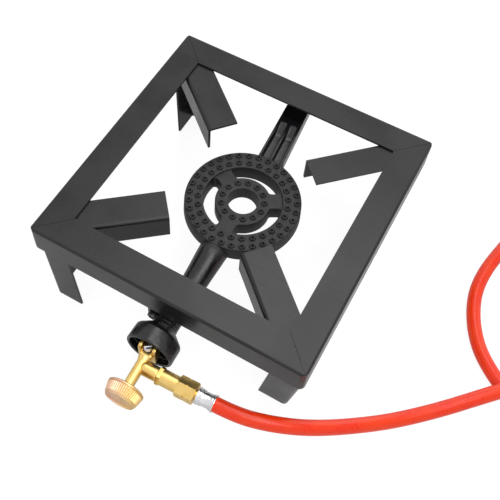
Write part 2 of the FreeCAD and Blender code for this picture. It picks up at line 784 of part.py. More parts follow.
def hex_union(start, way):
    """A union nut from its open end, with the notched corners that mark a left-hand thread."""
    end = start + way * nut_length
    nut = hexagon(nut_flats, start, end, flat_up)
    reach = nut_flats / 2 / math.cos(math.pi / hex_sides)
    limit = turned(
        [(0, 0), (0, reach - nut_chamfer), (nut_chamfer / 2, reach), (nut_length - nut_chamfer / 2, reach),
         (nut_length, reach - nut_chamfer), (nut_length, 0)],
        start, way,
    )
    notch_at = nut_length / 2
    notch = turned(
        [(notch_at - nut_notch, reach + over), (notch_at - nut_notch, reach),
         (notch_at, reach - nut_notch_depth),
         (notch_at + nut_notch, reach), (notch_at + nut_notch, reach + over)],
        start, way,
    )
    shoulder = nut_length - nut_shoulder
    thread_end = start + way * (shoulder - tail_flange_length)
    thread = rod(thread_radius + nut_thread_gap, start - way * over, thread_end)
    relief = rod(thread_radius + nut_thread_gap + nut_relief, thread_end, start + way * shoulder)
    passage = rod(tail_neck + tail_neck_gap, start, end + way * over)
    return nut.common(limit).cut([notch, thread, relief, passage])


def hose_tail(start, way):
    """The nozzle inside the nut: start is the nut's open end."""
    shoulder = nut_length - nut_shoulder
    flange = shoulder - tail_flange_length
    neck_end = nut_length + ferrule_gap
    spigot_end = neck_end + ferrule_length
    return turned(
        [(flange, tail_bore), (flange, tail_flange), (shoulder, tail_flange), (shoulder, tail_neck),
         (neck_end, tail_neck), (neck_end, tail_spigot), (spigot_end, tail_spigot), (spigot_end, tail_bore)],
        start, way,
    )


def ferrule(start, way):
    """The crimped sleeve: start is its end beside the nut."""
    lip, length = ferrule_lip_length, ferrule_length
    shrink, narrow, widen, full = [length * share for share in crimp_shares]
    return turned(
        [(0, tail_spigot), (0, ferrule_lip), (lip, ferrule_lip), (lip, ferrule_radius),
         (shrink, ferrule_radius), (narrow, ferrule_waist), (widen, ferrule_waist),
         (full, ferrule_radius), (length - lip, ferrule_radius), (length - lip / 2, ferrule_flare),
         (length, ferrule_flare), (length, tail_spigot)],
        start, way,
    )


def inlet_adaptor():
    start = branch_length
    collar = hexagon(collar_flats, Vec(start, 0, 0), Vec(start + collar_length, 0, 0))
    body = turned(
        [(start - spigot_length, 0), (start - spigot_length, branch_bore),
         (start + collar_length, branch_bore),
         (start + collar_length, adaptor_radius), (start + collar_length + adaptor_length, adaptor_radius),
         (start + collar_length + adaptor_length, thread_radius),
         (start + collar_length + adaptor_length + adaptor_thread, thread_radius),
         (start + collar_length + adaptor_length + adaptor_thread, 0)],
        Vec(0, 0, 0), ALONG_X,
    )
    return collar.fuse(body).cut(rod(inlet_bore, Vec(0, 0, 0), Vec(frame_half, 0, 0)))


def swing(shape):
    """From the valve's own drawing to its place on the tongue, turned about the clamp screw."""
    shape = shape.copy()
    shape.translate(Vec(burner_x, clamp_y - clamp_back, tube_axis))
    shape.rotate(Vec(burner_x, clamp_y, tube_axis), UP, valve_swing)
    return shape


def swung(point):
    spin = FreeCAD.Rotation(UP, valve_swing)
    return Vec(burner_x, clamp_y, tube_axis) + spin.multVec(point - Vec(0, clamp_back, 0))


def build_valve():
    nut_at = Vec(branch_length + collar_length + adaptor_length, 0, 0)
    ferrule_at = nut_at + ALONG_X * (nut_length + ferrule_gap)
    thread_end = nut_at + ALONG_X * adaptor_thread
    flange_at = nut_at + ALONG_X * (nut_length - nut_shoulder - tail_flange_length)
    washer = rod(tail_flange, thread_end, flange_at)
    washer = washer.cut(rod(tail_bore, thread_end - ALONG_X * over, flange_at + ALONG_X * over))
    pieces = {
        "valve_body": valve_body(),
        "injector": injector(),
        "valve_clamp_screw": clamp_screw(),
        "needle_spindle": spindle(),
        "gland_packing": gland_ring(stem_length - gland_length - packing_length, packing_length),
        "packing_gland": packing_gland(),
        "control_knob": knob(),
        "inlet_adaptor": inlet_adaptor(),
        "union_nut": hex_union(nut_at, ALONG_X),
        "union_washer": washer,
        "hose_tail": hose_tail(nut_at, ALONG_X),
        "hose_ferrule": ferrule(ferrule_at, ALONG_X),
    }
    for name, piece in pieces.items():
        solids[name] = swing(piece)
    return swung(ferrule_at + ALONG_X * ferrule_length), swung(Vec(1, 0, 0)) - swung(Vec(0, 0, 0))


# Hose: straight runs joined by tangent arcs, then the loop
def rounded_route(points):
    """The wire, its length and the radius at each inner point."""
    edges, radii, length = [], [], 0
    at = points[0]
    for before, corner, after in zip(points, points[1:], points[2:]):
        to_corner, on = corner - before, after - corner
        short = min(to_corner.Length, on.Length)
        turn = to_corner.getAngle(on)
        back = bend_share * short
        radius = back / math.tan(turn / 2)
        radii.append(radius)
        to_corner.normalize()
        on.normalize()
        first, last = corner - to_corner * back, corner + on * back
        bisector = on - to_corner
        bisector.normalize()
        hub = corner + bisector * (radius / math.cos(turn / 2))
        middle = hub - bisector * radius
        edges.append(Part.LineSegment(at, first).toShape())
        edges.append(Part.Arc(first, middle, last).toShape())
        length += (first - at).Length + radius * turn
        at = last
    edges.append(Part.LineSegment(at, points[-1]).toShape())
    length += (points[-1] - at).Length
    return Part.Wire(edges), length, radii


def piped(wire, start, way):
    ring = Part.Wire([Part.Circle(start, way, hose_radius).toShape()])
    return wire.makePipeShell([ring], True, False)


class Walker:
    """Follows straights and arcs from a point, and keeps their edges and points along them."""

    def __init__(self, at, way):
        self.at, self.way, self.edges, self.spots, self.length = at, way, [], [at], 0

    def straight(self, length):
        end = self.at + self.way * length
        self.edges.append(Part.LineSegment(self.at, end).toShape())
        self.finish(end, self.way, length)

    def arc(self, radius, turn, axis):
        side = axis.cross(self.way)
        side.normalize()
        hub = self.at + side * radius * math.copysign(1, turn)
        half, whole = FreeCAD.Rotation(axis, turn / 2), FreeCAD.Rotation(axis, turn)
        middle, end = hub + half.multVec(self.at - hub), hub + whole.multVec(self.at - hub)
        self.edges.append(Part.Arc(self.at, middle, end).toShape())
        self.finish(end, whole.multVec(self.way), radius * abs(math.radians(turn)))

    def finish(self, end, way, length):
        count = max(2, int(length / hose_radius))
        self.spots += self.edges[-1].discretize(count + 1)[1:]
        self.at, self.way, self.length = end, way, self.length + length


def self_gap(spots, skip):
    least = frame_side
    for i, spot in enumerate(spots):
        for other in spots[i + skip:]:
            least = min(least, (spot - other).Length - hose_radius * 2)
    return least


def build_hose(exit_at, exit_way):
    heading = polar(1, coil_heading)
    home = Vec(exit_at.x, exit_at.y, 0)
    start = home + Vec(coil_start[0], coil_start[1], hose_floor)
    first = exit_at + exit_way * hose_lead
    route = [exit_at, first] + [home + Vec(*p) for p in hose_route]
    route += [start - heading * hose_lead, start]
    wire, length, radii = rounded_route(route)
    hose = piped(wire, exit_at, exit_way)
    solids["gas_hose"] = hose
    share = hose.Volume / (math.pi * hose_radius ** 2 * length)
    print("free hose", round(length, 1), "mm, volume share", round(share, 4))
    print("free hose radii", [round(r) for r in radii])
    loop = Walker(start, heading)
    loop.straight(hose_step)
    for radius, turn in zip(coil_radii, coil_angles):
        if turn:
            loop.arc(radius, turn, UP)
        else:
            loop.straight(radius)
    end_rise = nut_flats / 2 / math.cos(math.pi / hex_sides) + end_clearance - hose_radius
    lift = math.degrees(math.acos(1 - end_rise / 2 / coil_lift_radius))
    level = UP.cross(loop.way)
    loop.arc(coil_lift_radius, -lift, level)
    loop.arc(coil_lift_radius, lift, level)
    loop.straight(hose_step)
    coil = piped(Part.Wire(loop.edges), start, heading)
    solids["gas_hose_loop"] = coil
    least = min(radius for radius, turn in zip(coil_radii, coil_angles) if turn)
    skip = int(math.pi * least / hose_radius)
    print("loop", round(loop.length, 1), "mm, least gap to itself", round(self_gap(loop.spots, skip), 2))
    print("loop volume share", round(coil.Volume / (math.pi * hose_radius ** 2 * loop.length), 4))
    print("whole hose", round(length + loop.length, 1), "mm")
    return loop.at, loop.way


def build_far_end(at, way):
    """The fittings on the far end, drawn from the nut's open end back to the hose."""
    back = way * -1
    open_end = at + way * (ferrule_length + ferrule_gap + nut_length)
    solids["end_union_nut"] = hex_union(open_end, back)
    solids["end_hose_tail"] = hose_tail(open_end, back)
    solids["end_ferrule"] = ferrule(at + way * ferrule_length, back)
    return open_end


def export():
    front = swung(Vec(-knob_radius + knob_bevel, -knob_rear - knob_thickness, 0)).y
    origin = Vec(0, (frame_half + screw_head_height + front) / 2, floor_z)
    print("origin", round(origin.y, 3), round(origin.z, 3))
    for name, shape in solids.items():
        shape.translate(origin * -1)
        shape.exportStep("parts/" + name + ".step")
        print(name, len(shape.Solids), shape.isValid(), round(shape.Volume, 1))
    return origin


build_frame()
build_legs()
build_supports()
arm_middle, ear_hole = build_casting()
build_fixings(arm_middle, ear_hole)
hose_exit, hose_way = build_valve()
loop_end, loop_way = build_hose(hose_exit, hose_way)
far_end = build_far_end(loop_end, loop_way)
origin = export()
print("hose exit", hose_exit - origin, "way", hose_way)
print("valve crossing", swung(Vec(0, 0, 0)) - origin)
print("far end", far_end - origin, "way", loop_way)
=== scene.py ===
import json
import math

import bmesh
import bpy
import numpy as np
from mathutils import Matrix, Vector


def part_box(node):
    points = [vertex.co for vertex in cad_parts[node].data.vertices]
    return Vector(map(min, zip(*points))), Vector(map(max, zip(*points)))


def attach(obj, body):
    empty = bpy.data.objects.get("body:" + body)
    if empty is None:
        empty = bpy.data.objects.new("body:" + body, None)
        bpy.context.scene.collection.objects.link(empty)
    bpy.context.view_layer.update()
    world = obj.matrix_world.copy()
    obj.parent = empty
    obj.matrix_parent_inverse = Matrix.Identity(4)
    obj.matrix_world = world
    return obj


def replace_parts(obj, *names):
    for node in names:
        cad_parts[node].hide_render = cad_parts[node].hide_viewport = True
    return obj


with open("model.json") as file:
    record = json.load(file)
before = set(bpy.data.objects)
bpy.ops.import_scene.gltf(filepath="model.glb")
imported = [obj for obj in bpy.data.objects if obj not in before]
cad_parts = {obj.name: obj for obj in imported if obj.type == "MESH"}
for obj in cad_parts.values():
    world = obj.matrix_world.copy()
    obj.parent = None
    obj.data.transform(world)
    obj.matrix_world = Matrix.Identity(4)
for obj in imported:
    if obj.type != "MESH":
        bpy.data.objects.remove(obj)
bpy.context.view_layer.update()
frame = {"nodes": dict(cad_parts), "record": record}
nodes = frame["nodes"]

# Sizes are in millimetres from the stand's own middle: x to the hose's side, -y to the knob, z = 0 at its top
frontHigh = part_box("frame_bar_front")[1]
leftLow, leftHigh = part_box("frame_bar_left")
standMiddle = np.array([0.0, (leftLow.y + leftHigh.y) / 2, frontHigh.z])
millimetre = 0.001


def toFrame(points):
    # from the stand's millimetres to the frame's metres
    return np.asarray(points, float) * millimetre + standMiddle


# Camera

camera = {
    "place": (199.8, -428.8, 695.6),
    "right": (0.86955, 0.49276, 0.03278),  # the picture's right-hand direction
    "down": (0.42914, -0.72110, -0.54392),
    "pixelsPerUnit": 836.1,  # focal length in picture pixels
    "pictureWidth": 500,
    "lensMiddle": (225, 200),  # pixel where the lens axis meets the picture
    "sensor": 36.0,
}


def makeCamera(c):
    data = bpy.data.cameras.new("camera")
    data.sensor_width = c["sensor"]
    data.lens = c["pixelsPerUnit"] / c["pictureWidth"] * c["sensor"]
    half = c["pictureWidth"] / 2
    data.shift_x = (half - c["lensMiddle"][0]) / c["pictureWidth"]
    data.shift_y = (c["lensMiddle"][1] - half) / c["pictureWidth"]
    data.clip_end = 50
    right = Vector(c["right"]).normalized()
    up = -Vector(c["down"])
    up = (up - right * up.dot(right)).normalized()
    back = right.cross(up)
    turn = Matrix((right, up, back)).transposed().to_4x4()
    seen = bpy.data.objects.new("camera", data)
    seen.matrix_world = Matrix.Translation(Vector(toFrame(c["place"]))) @ turn
    bpy.context.scene.collection.objects.link(seen)
    bpy.context.scene.camera = seen


makeCamera(camera)
print("camera placed")


# Shader arithmetic: a Signal is a socket whose sums and products add Math nodes

class Signal:
    def __init__(self, paint, socket):
        self.paint, self.socket = paint, socket

    def __add__(self, other):
        return self.paint.math("ADD", self, other)

    def __sub__(self, other):
        return self.paint.math("SUBTRACT", self, other)

    def __rsub__(self, other):
        return self.paint.math("SUBTRACT", other, self)

    def __mul__(self, other):
        return self.paint.math("MULTIPLY", self, other)

    def between(self, low, high):
        # 0 below low, 1 above high, smooth in between
        settings = {"interpolation_type": "SMOOTHSTEP"}
        sockets = {"Value": self, "From Min": low, "From Max": high}
        return self.paint.node("ShaderNodeMapRange", settings, sockets)


class Paint:
    # one material or world and its nodes
    def __init__(self, owner):
        owner.use_nodes = True
        self.owner, self.tree = owner, owner.node_tree
        self.tree.nodes.clear()

    def node(self, kind, settings=None, sockets=None, output=0):
        made = self.tree.nodes.new(kind)
        for key, value in (settings or {}).items():
            setattr(made, key, value)
        for key, value in (sockets or {}).items():
            if isinstance(value, Signal):
                self.tree.links.new(value.socket, made.inputs[key])
            else:
                made.inputs[key].default_value = value
        return Signal(self, made.outputs[output]) if made.outputs else None

    def math(self, operation, *values):
        return self.node("ShaderNodeMath", {"operation": operation}, dict(enumerate(values)))

    def place(self, scale=(1, 1, 1), turn=(0, 0, 0)):
        # the finished piece's own coordinates, turned and stretched
        point = self.node("ShaderNodeTexCoord", output=3)
        return self.node("ShaderNodeMapping", None, {"Vector": point, "Rotation": turn, "Scale": scale})

    def ray(self, kind):
        # 1 for rays of this kind and 0 for all others
        outputs = {"camera": 0, "glossy": 3, "transmission": 6}
        return self.node("ShaderNodeLightPath", output=outputs[kind])

    def noise(self, scale, where=None, detail=3, rough=0.55):
        sockets = {"Vector": where or self.place(), "Scale": scale, "Detail": detail, "Roughness": rough}
        return self.node("ShaderNodeTexNoise", None, sockets)

    def blend(self, factor, first, second):
        settings = {"data_type": "RGBA", "clamp_factor": True}
        return self.node("ShaderNodeMix", settings, {0: factor, 6: first, 7: second}, output=2)

    def bump(self, height, distance, strength):
        sockets = {"Height": height, "Distance": distance, "Strength": strength}
        return self.node("ShaderNodeBump", None, sockets)

    def surface(self, shader, kind="ShaderNodeOutputMaterial"):
        self.node(kind, None, {"Surface": shader})
        return self.owner

    def finish(self, colour, roughness, **sockets):
        sockets = {key.replace("_", " "): value for key, value in sockets.items()}
        sockets.update({"Base Color": colour, "Roughness": roughness})
        return self.surface(self.node("ShaderNodeBsdfPrincipled", None, sockets))


def newMaterial(name):
    return Paint(bpy.data.materials.new(name))


# Finishes

steelPaint = {
    "dark": (0.008, 0.008, 0.009, 1), "light": (0.014, 0.014, 0.0155, 1),
    "roughness": (0.22, 0.32), "peel": 420.0, "peelDepth": 0.00006,
    "speck": (0.09, 0.09, 0.095, 1), "ior": 1.42,
}


def paintedSteel(c):
    p = newMaterial("painted steel")
    cloud = p.noise(14, detail=4).between(0.35, 0.65)
    speck = p.noise(900, detail=1).between(0.74, 0.78) * 0.5
    stroke = p.noise(30, p.place(scale=(1, 14, 14)), detail=3).between(0.55, 0.75)
    peel = p.noise(c["peel"], detail=2) + p.noise(c["peel"] / 6, detail=1) * 2.0
    low, high = c["roughness"]
    colour = p.blend(speck, p.blend(cloud, c["dark"], c["light"]), c["speck"])
    roughness = cloud * (high - low) + low + stroke * 0.05
    return p.finish(colour, roughness, IOR=c["ior"], Normal=p.bump(peel, c["peelDepth"], 0.35))


castPaint = {
    "dark": (0.005, 0.005, 0.006, 1), "light": (0.012, 0.012, 0.014, 1),
    "roughness": (0.16, 0.28), "grain": 1100.0, "grainDepth": 0.00012, "ior": 1.5,
    "patches": 180.0, "patchSpread": 1.4, "patchShift": -0.04,
    "sanded": 0.34, "ringMiddle": toFrame((5.3, 0, -30)), "ringEdge": (0.063, 0.068),  # the ring is rougher
}


def castIron(c):
    p = newMaterial("painted cast iron")
    cloud = p.noise(60, detail=5).between(0.3, 0.7)
    grain = p.noise(c["grain"], detail=3) + p.noise(c["grain"] / 4, detail=3) * 2.5
    low, high = c["roughness"]
    colour = p.blend(cloud, c["dark"], c["light"])
    sockets = {0: p.place(), 1: c["ringMiddle"]}
    distance = p.node("ShaderNodeVectorMath", {"operation": "DISTANCE"}, sockets, output=1)
    away = distance.between(*c["ringEdge"])
    patches = p.noise(c["patches"], detail=3) * (high - low) * c["patchSpread"]
    roughness = patches + low + c["patchShift"] + (1.0 - away) * c["sanded"]
    return p.finish(colour, roughness, IOR=c["ior"], Normal=p.bump(grain, c["grainDepth"], 0.6))


brassFinish = {
    "bright": (0.83, 0.58, 0.20, 1), "deep": (0.58, 0.37, 0.10, 1), "rose": (0.80, 0.52, 0.37, 1),
    "roughness": 0.31, "lines": 2600.0, "lineDepth": 0.00002, "knobLines": 1500.0,
}


def brassMetal(c):
    # machined brass: turning lines across the hose's way, fine scratches and faint tarnish
    p = newMaterial("machined brass")
    tarnish = p.noise(90, detail=5).between(0.45, 0.75)
    turned = p.noise(1, p.place(scale=(c["lines"], 60, 60)), detail=2)
    scratch = p.noise(1, p.place(scale=(150, 2600, 900), turn=(0.4, 0.9, 0.3)), detail=2)
    colour = p.blend(tarnish * 0.55, c["bright"], c["deep"])
    roughness = turned * 0.12 + tarnish * 0.1 + (c["roughness"] - 0.06)
    lines = turned + scratch * 0.5
    return p.finish(colour, roughness, Metallic=1.0, Normal=p.bump(lines, c["lineDepth"], 0.5))


def knobMetal(c):
    # reddish brass with painted light: it is painted yellower towards the hose's side, as if lit from there
    p = newMaterial("knob brass")
    tarnish = p.noise(140, detail=5).between(0.4, 0.75)
    # painted light: the share of yellow grows across the knob towards the hose's side
    across = p.node("ShaderNodeSeparateXYZ", None, {"Vector": p.place()}).between(-0.004, 0.022)
    turned = p.noise(1, p.place(scale=(70, c["knobLines"], 70)), detail=2)
    pits = p.noise(1300, detail=2)
    paintedLightTone = p.blend(across * 0.75, c["rose"], c["bright"])
    colour = p.blend(tarnish * 0.4, paintedLightTone, c["deep"])
    roughness = turned * 0.12 + tarnish * 0.12 + (c["roughness"] - 0.02)
    lines = turned + pits * 0.6
    return p.finish(colour, roughness, Metallic=1.0, Normal=p.bump(lines, c["lineDepth"], 0.25))


plating = {"bright": (0.76, 0.76, 0.78, 1), "grey": (0.48, 0.48, 0.51, 1)}


def platedSteel(name, c, roughness, share):
    p = newMaterial(name)
    cloud = p.noise(160, detail=4).between(0.4, 0.7)
    scratch = p.noise(1, p.place(scale=(200, 1900, 1900)), detail=2)
    return p.finish(
        p.blend(cloud * share, c["bright"], c["grey"]), cloud * 0.1 + scratch * 0.06 + roughness,
        Metallic=1.0, Normal=p.bump(scratch, 0.00002, 0.4),
    )


hoseFinish = {
    "main": (0.93, 0.030, 0.001, 1), "pale": (0.95, 0.050, 0.002, 1), "roughness": 0.26, "ior": 1.45,
}


def orangeHose(c):
    p = newMaterial("orange hose")
    cloud = p.noise(45, detail=4).between(0.3, 0.7)
    skin = p.noise(900, detail=2) + p.noise(130, detail=3) * 1.5
    dust = p.noise(700, detail=4).between(0.62, 0.8)
    return p.finish(
        p.blend(cloud, c["main"], c["pale"]), cloud * 0.08 + dust * 0.12 + c["roughness"],
        IOR=c["ior"], Normal=p.bump(skin, 0.00006, 0.3),
    )


def plainStuff(name, dark, light, roughness):
    # packing and seal: cloudy colour and a fine matt grain
    p = newMaterial(name)
    cloud = p.noise(500, detail=4)
    return p.finish(p.blend(cloud, dark, light), cloud * 0.2 + roughness, Normal=p.bump(cloud, 0.0001, 0.5))


steel = paintedSteel(steelPaint)
iron = castIron(castPaint)
brass = brassMetal(brassFinish)
knobBrass = knobMetal(brassFinish)
chrome = platedSteel("bright plated sleeve", plating, 0.14, 0.3)
zinc = platedSteel("zinc plate", plating, 0.2, 0.8)
orange = orangeHose(hoseFinish)
packing = plainStuff("packing", (0.6, 0.6, 0.56, 1), (0.85, 0.85, 0.8, 1), 0.5)
seal = plainStuff("seal", (0.015, 0.015, 0.015, 1), (0.04, 0.04, 0.04, 1), 0.45)
# painted shade: a near-black plug set in each jet hole stands in for the shade deep inside it
jetShadeBlack = plainStuff("painted shade in the jets", (0.0005, 0.0005, 0.0005, 1), (0.002, 0.002, 0.002, 1), 0.8)

slotFinish = {
    "black_steel": steel, "black_cast_iron": iron, "brass": brass, "knob_brass": knobBrass,
    "chrome": chrome, "zinc_screw": zinc, "orange_hose": orange, "packing": packing, "seal_rubber": seal,
}
for entry in frame["record"]["subparts"]:
    data = nodes[entry["node"]].data
    data.materials.clear()
    data.materials.append(slotFinish[entry["material_slot"]])
print("finishes made")


# Surfaces

class Shell:
    # gathers closed surfaces in the stand's millimetres and makes one piece of them
    def __init__(self):
        self.points, self.faces, self.count = [], [], 0

    def add(self, grid, closed=True):
        # grid: sections x points x 3; quads join neighbours, and a flat face closes each end if closed
        grid = np.asarray(grid, float)
        rows, columns = grid.shape[:2]
        here = np.arange(rows * columns).reshape(rows, columns) + self.count
        beside = np.roll(here, -1, axis=1)
        quads = np.stack([here[:-1], beside[:-1], beside[1:], here[1:]], axis=-1)
        self.faces += quads.reshape(-1, 4).tolist()
        if closed:
            self.faces += [here[0][::-1].tolist(), here[-1].tolist()]
        self.points.append(grid.reshape(-1, 3))
        self.count += rows * columns
        return self

    def addCopies(self, grid, places):
        # the same grid moved to each place
        for place in places:
            self.add(grid + place)
        return self

    def addMesh(self, data, move):
        # a mesh made elsewhere, its points passed through move
        points = np.empty(len(data.vertices) * 3)
        data.vertices.foreach_get("co", points)
        self.points.append(move(points.reshape(-1, 3)))
        self.faces += [[v + self.count for v in face.vertices] for face in data.polygons]
        self.count += len(data.vertices)
        return self

    def piece(self, name, material, slot, body="burner", sharp=38):
        data = bpy.data.meshes.new(name)
        data.from_pydata(toFrame(np.concatenate(self.points)), [], self.faces)
        shape = bmesh.new()
        shape.from_mesh(data)
        bmesh.ops.remove_doubles(shape, verts=shape.verts, dist=2e-6)
        bmesh.ops.recalc_face_normals(shape, faces=shape.faces)
        shape.to_mesh(data)
        shape.free()
        data.shade_smooth()
        data.set_sharp_from_angle(angle=math.radians(sharp))
        data.materials.append(material)
        made = bpy.data.objects.new(name, data)
        bpy.context.scene.collection.objects.link(made)
        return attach(made, body) or made


def softened(points, cut, steps=4, loop=False):
    # each corner becomes a parabola: (1-t)^2 before + 2t(1-t) corner + t^2 after, each a cut's length away
    points = np.asarray(points, float)
    before, after = np.roll(points, 1, axis=0), np.roll(points, -1, axis=0)
    if not loop:
        before, corner, after = before[1:-1], points[1:-1], after[1:-1]
    else:
        corner = points
    t = np.linspace(0, 1, steps).reshape(1, steps, *([1] * (points.ndim - 1)))
    ends = []
    for other in (before, after):
        way = other - corner
        length = np.linalg.norm(way, axis=-1, keepdims=True)
        ends.append(corner + way / length * np.minimum(cut, length * 0.49))
    first, last = ends[0][:, None], ends[1][:, None]
    curve = (1 - t) ** 2 * first + 2 * t * (1 - t) * corner[:, None] + t ** 2 * last
    curve = curve.reshape(-1, *points.shape[1:])
    return curve if loop else np.concatenate([points[:1], curve, points[-1:]])


def closedLoop(profile):
    return np.concatenate([profile, profile[:1]])


def revolved(profile, start, along, steps):
    # (distance, radius) goes round the axis: start + distance*along + radius*(side*cos + up*sin)
    profile, along = np.asarray(profile, float), np.asarray(along, float)
    side = np.array([0.0, 0.0, 1.0]) if abs(along[2]) < 0.5 else np.array([1.0, 0.0, 0.0])
    up = np.cross(along, side)
    angle = np.linspace(0, 2 * np.pi, steps, endpoint=False)[:, None]
    ring = np.cos(angle) * side + np.sin(angle) * up
    return np.asarray(start, float) + profile[:, :1, None] * along + profile[:, 1:, None] * ring


def swept(path, radii, steps):
    # a circle carried along a path that lies square to X: path + radius*(side*cos + up*sin)
    path, side = np.asarray(path, float), np.array([1.0, 0.0, 0.0])
    way = np.gradient(path, axis=0)
    way /= np.linalg.norm(way, axis=1, keepdims=True)
    up = np.cross(side, way)[:, None]
    angle = np.linspace(0, 2 * np.pi, steps, endpoint=False)[:, None]
    return path[:, None] + np.asarray(radii)[:, None, None] * (np.cos(angle) * side + np.sin(angle) * up)


def roundedBox(low, high, edge, steps=4):
    # a ball's point for each turn and rise, moved out to the box's corner on its side
    low, high = np.asarray(low, float), np.asarray(high, float)
    quarter = np.linspace(0, np.pi / 2, steps)
    turn = (quarter + np.arange(4)[:, None] * np.pi / 2).ravel()
    rise = np.concatenate([quarter - np.pi / 2, quarter])[:, None]
    flat = np.ones_like(rise) * np.ones_like(turn)
    ball = np.stack([np.cos(rise) * np.cos(turn), np.cos(rise) * np.sin(turn), np.sin(rise) * flat], axis=-1)
    signX = np.repeat([1, -1, -1, 1], steps) * flat
    signY = np.repeat([1, 1, -1, -1], steps) * flat
    signZ = np.repeat([-1, 1], steps)[:, None] * flat
    signs = np.stack([signX, signY, signZ], axis=-1)
    return (low + high) / 2 + signs * ((high - low) / 2 - edge) + ball * edge


def spun(points, degrees, hub):
    # turned about the upright line through hub
    angle = math.radians(degrees)
    cos, sin = math.cos(angle), math.sin(angle)
    turn = np.array([[cos, sin, 0], [-sin, cos, 0], [0, 0, 1]])
    return (np.asarray(points, float) - hub) @ turn + hub


# Burner casting: ring and core, jets, mixing tube, mouth, ear and rear arm, all in one shell

burner = {
    "x": 5.3, "top": -26.0, "height": 20.0, "outer": 61.5, "inner": 41.0, "foot": 3.0,
    "coreOuter": 29.0, "coreInner": 15.5, "coreDrop": 2.0, "bridge": 18.0, "firstBridge": 30.0,
    "slotRound": 3.4, "edge": 1.2,
}


def slotOutline(b, first, steps=20):
    # four arcs about the slot's inset corners and two about the ring's middle, one after the other
    near, far, soft, half = b["coreOuter"], b["inner"] + 0.5, b["slotRound"], b["bridge"] / 2
    wide = math.degrees(math.asin((half + soft) / (far - soft)))
    slim = math.degrees(math.asin((half + soft) / (near + soft)))
    last = first + 120
    arcs = (
        (0, 0, far, first + wide, last - wide),
        (far - soft, last - wide, soft, last - wide, last + 90),
        (near + soft, last - slim, soft, last + 90, last - slim + 180),
        (0, 0, near, last - slim, first + slim),
        (near + soft, first + slim, soft, first + slim + 180, first + 270),
        (far - soft, first + wide, soft, first + 270, first + wide + 360),
    )
    hubRadius, hubTurn, radius, start, stop = np.array(arcs).T
    hubTurn, start, stop = np.radians([hubTurn, start, stop])
    angle = start[:, None] + (stop - start)[:, None] * np.linspace(0, 1, steps)
    hub = hubRadius * np.array([np.cos(hubTurn), np.sin(hubTurn)])
    spots = hub[:, :, None] + radius[:, None] * np.array([np.cos(angle), np.sin(angle)])
    return spots.reshape(2, -1).T


def circleOutline(radius, steps):
    angle = np.linspace(0, 2 * np.pi, steps, endpoint=False)
    return radius * np.array([np.cos(angle), np.sin(angle)]).T


def halfMoonOutline(radius, near, soft, side, steps=16):
    # a circle's part beyond x = near: two small arcs round its corners and the large arc between them
    rise = math.sqrt((radius - soft) ** 2 - (near + soft) ** 2)
    tip = math.atan2(rise, near + soft)
    hub = near + soft
    arcs = ((hub, -rise, soft, -math.pi, -tip), (0, 0, radius, -tip, tip), (hub, rise, soft, tip, math.pi))
    hubX, hubY, size, start, stop = np.array(arcs).T[:, :, None]
    angle = start + (stop - start) * np.linspace(0, 1, steps)
    x, y = side * (hubX + size * np.cos(angle)), hubY + size * np.sin(angle)
    return np.stack([x, y], axis=-1).reshape(-1, 2)


def plateMesh(outlines, thickness, edge):
    # a filled flat curve given its thickness and rounded edges, as a mesh
    curve = bpy.data.curves.new("plate", "CURVE")
    curve.dimensions, curve.fill_mode = "2D", "BOTH"
    curve.extrude = thickness / 2 - edge
    curve.bevel_depth, curve.bevel_resolution, curve.offset = edge, 3, -edge
    for outline in outlines:
        spline = curve.splines.new("POLY")
        spline.points.add(len(outline) - 1)
        flat = np.zeros((len(outline), 4))
        flat[:, :2] = outline
        flat[:, 3] = 1
        spline.points.foreach_set("co", flat.ravel())
        spline.use_cyclic_u = True
    holder = bpy.data.objects.new("plate", curve)
    made = bpy.data.meshes.new_from_object(holder)
    bpy.data.objects.remove(holder)
    bpy.data.curves.remove(curve)
    return made


def addRing(shell, b, middle):
    bottom, edge = b["top"] - b["height"], b["edge"]
    ring = softened(
        [(0, b["inner"]), (0, b["outer"] - b["foot"]), (b["foot"], b["outer"] - 0.2),
         (b["height"], b["outer"] - 0.9), (b["height"], b["inner"])], edge * 1.3, loop=True)
    shell.add(revolved(closedLoop(ring), middle + (0, 0, bottom), (0, 0, 1), 144), closed=False)
    # core and bridges: one plate with three slots and the centre hole
    thickness = b["top"] - b["coreDrop"] - bottom
    outlines = [circleOutline(b["inner"] + 2.5, 120), circleOutline(b["coreInner"], 72)]
    outlines += [slotOutline(b, b["firstBridge"] + 120 * k) for k in range(3)]
    plate = plateMesh(outlines, thickness, edge * 0.8)
    shell.addMesh(plate, lambda points: points + middle + (0, 0, bottom + thickness / 2))
    bpy.data.meshes.remove(plate)


jets = {
    # count, radius, turn of the first, and 1 for the core, which lies lower
    "rows": ((33, 56.0, -149.6, 0), (27, 46.7, -156.2, 0), (13, 22.4, -172.2, 1)),
    "profile": ((-0.8, 0), (-0.8, 4.0), (0, 3.6), (0.55, 3.3), (1.75, 2.95), (2.0, 2.5), (1.9, 1.75),
                (1.3, 1.5), (-0.7, 1.45), (-0.7, 0)),
    # the plug of painted shade in each hole, and the number of steps round
    "shadeProfile": ((-0.4, 0), (-0.4, 1.5), (0.5, 1.5), (0.5, 0)), "round": 14,
}


def addJets(shell, b, j, middle):
    # a raised rim round each hole, and a black plug in each hole as a piece of its own, painted shade that
    # makes the holes look deep
    boss = revolved(softened(j["profile"], 0.35, 2), (0, 0, 0), (0, 0, 1), j["round"])
    plug = revolved(j["shadeProfile"], (0, 0, 0), (0, 0, 1), j["round"])
    shadeShell = Shell()
    for count, radius, first, low in j["rows"]:
        angle = np.radians(first - 360 * np.arange(count) / count)
        height = np.full(count, b["top"] - b["coreDrop"] * low)
        places = middle + np.stack([radius * np.cos(angle), radius * np.sin(angle), height], axis=1)
        shell.addCopies(boss, places)
        shadeShell.addCopies(plug, places)
    shadeShell.piece("jet_painted_shade", jetShadeBlack, "black_cast_iron")


